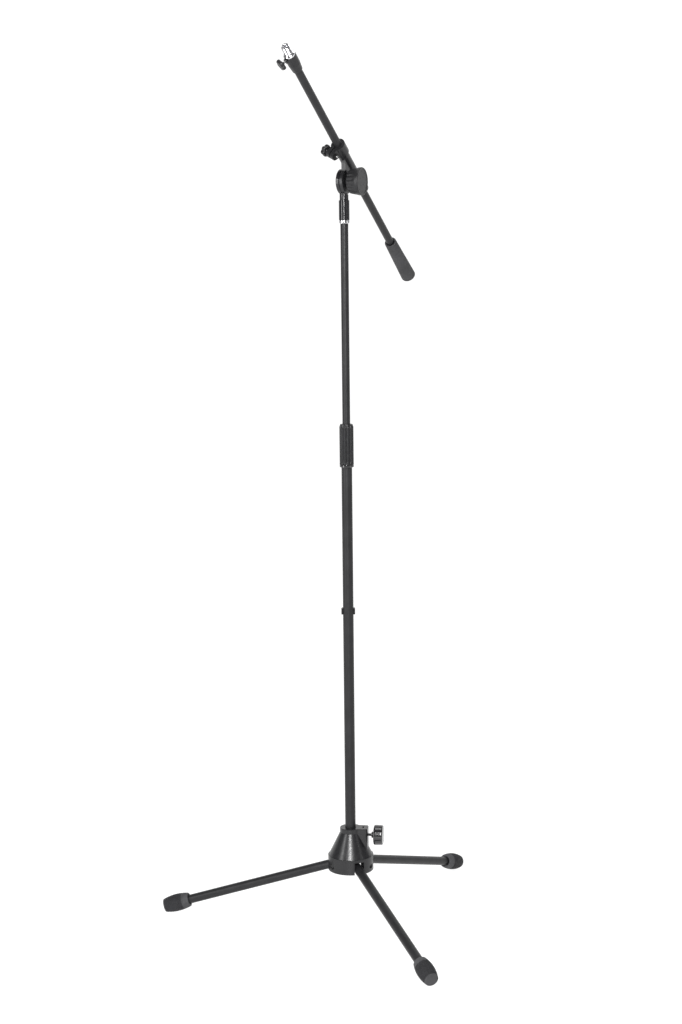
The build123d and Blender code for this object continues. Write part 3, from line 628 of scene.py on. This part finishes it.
sweep = {"front": -9.0, "bend": 3.5, "radius": 2.5, "top": 9.0, "half": 12.0, "glow": 0.9, "air": 0.22}
floorMaterial = finish("pale studio floor", "floor", (0.2, 0.2, 0.2), 0.6, grain=400.0, bump=0.02,
                       blotch=0.015)
floorShader = floorMaterial.node_tree.nodes["Principled BSDF"]
floorShader.inputs["Emission Color"].default_value = (1.0, 1.0, 1.0, 1.0)
floorShader.inputs["Emission Strength"].default_value = sweep["glow"]
curve = np.linspace(0.0, np.pi / 2, 24)
wallAt = sweep["bend"] + sweep["radius"]
across = [sweep["front"], *(sweep["bend"] + sweep["radius"] * np.sin(curve)), wallAt]
rise = [0.0, *(sweep["radius"] * (1 - np.cos(curve))), sweep["top"]]
corners = [(side * sweep["half"], y, z) for y, z in zip(across, rise) for side in (-1, 1)]
strips = [(2 * k, 2 * k + 1, 2 * k + 3, 2 * k + 2) for k in range(len(across) - 1)]
floorMesh = bpy.data.meshes.new("studioFloor")
floorMesh.from_pydata(corners, [], strips)
floorMesh.shade_smooth()
floor = bpy.data.objects.new("studioFloor", floorMesh)
bpy.context.scene.collection.objects.link(floor)
floorMesh.materials.append(floorMaterial)

world = bpy.data.worlds.new("white studio")
bpy.context.scene.world = world
world.use_nodes = True
world.node_tree.nodes["Background"].inputs["Color"].default_value = (1.0, 1.0, 1.0, 1.0)
world.node_tree.nodes["Background"].inputs["Strength"].default_value = sweep["air"]
bpy.context.scene.view_settings.view_transform = "Standard"


def softLight(name, place, target, width, height, power):
    # a rectangular area light at place, facing target
    lamp = bpy.data.lights.new(name, "AREA")
    lamp.shape = "RECTANGLE"
    lamp.size, lamp.size_y = width, height
    lamp.energy = power
    lampObject = bpy.data.objects.new(name, lamp)
    bpy.context.scene.collection.objects.link(lampObject)
    away = unit(np.array(place) - np.array(target))
    across = unit(np.cross(upward, away)) if abs(away[2]) < 0.99 else np.array((1.0, 0.0, 0.0))
    over = np.cross(away, across)
    turn = np.eye(4)
    turn[:3, 0], turn[:3, 1], turn[:3, 2], turn[:3, 3] = across, over, away, place
    lampObject.matrix_world = Matrix(turn.tolist())
    return lampObject


# place, the point it faces, width and height in metres, watts
softboxes = {"frontSoftbox": ((-0.25, -4.4, 2.7), (0.0, 0.0, 0.9), 0.6, 2.6, 300.0),
             "leftSoftbox": ((-3.0, -2.2, 1.6), (0.0, 0.0, 0.9), 0.6, 2.6, 60.0),
             "rightSoftbox": ((3.2, -1.6, 1.4), (0.0, 0.0, 0.9), 0.4, 2.2, 8.0),
             "topSoftbox": ((0.3, 0.2, 4.2), (0.0, 0.0, 0.5), 2.0, 2.0, 40.0)}
for name, setting in softboxes.items():
    softLight(name, *setting)

# metres, radians and millimetres
view = {"back": 4.0122, "height": 1.509, "yaw": -0.0032, "pitch": -0.1568, "roll": 0.0108, "lens": 69.43,
        "sensor": 36.0, "far": 60.0}
cameraData = bpy.data.cameras.new("camera")
cameraData.sensor_width = view["sensor"]
cameraData.lens = view["lens"]
cameraData.clip_end = view["far"]
camera = bpy.data.objects.new("camera", cameraData)
bpy.context.scene.collection.objects.link(camera)
cy, sy = math.cos(view["yaw"]), math.sin(view["yaw"])
cp, sp = math.cos(view["pitch"]), math.sin(view["pitch"])
ahead = np.array((sy * cp, cy * cp, sp))
right = np.array((cy, -sy, 0.0))
down = np.cross(ahead, right)
cr, sr = math.cos(view["roll"]), math.sin(view["roll"])
pose = np.eye(4)
pose[:3, 0] = cr * right + sr * down
pose[:3, 1] = -(-sr * right + cr * down)
pose[:3, 2] = -ahead
pose[:3, 3] = (0.0, -view["back"], view["height"])
camera.matrix_world = Matrix(pose.tolist())
bpy.context.scene.camera = camera
print("floor, light and camera set")
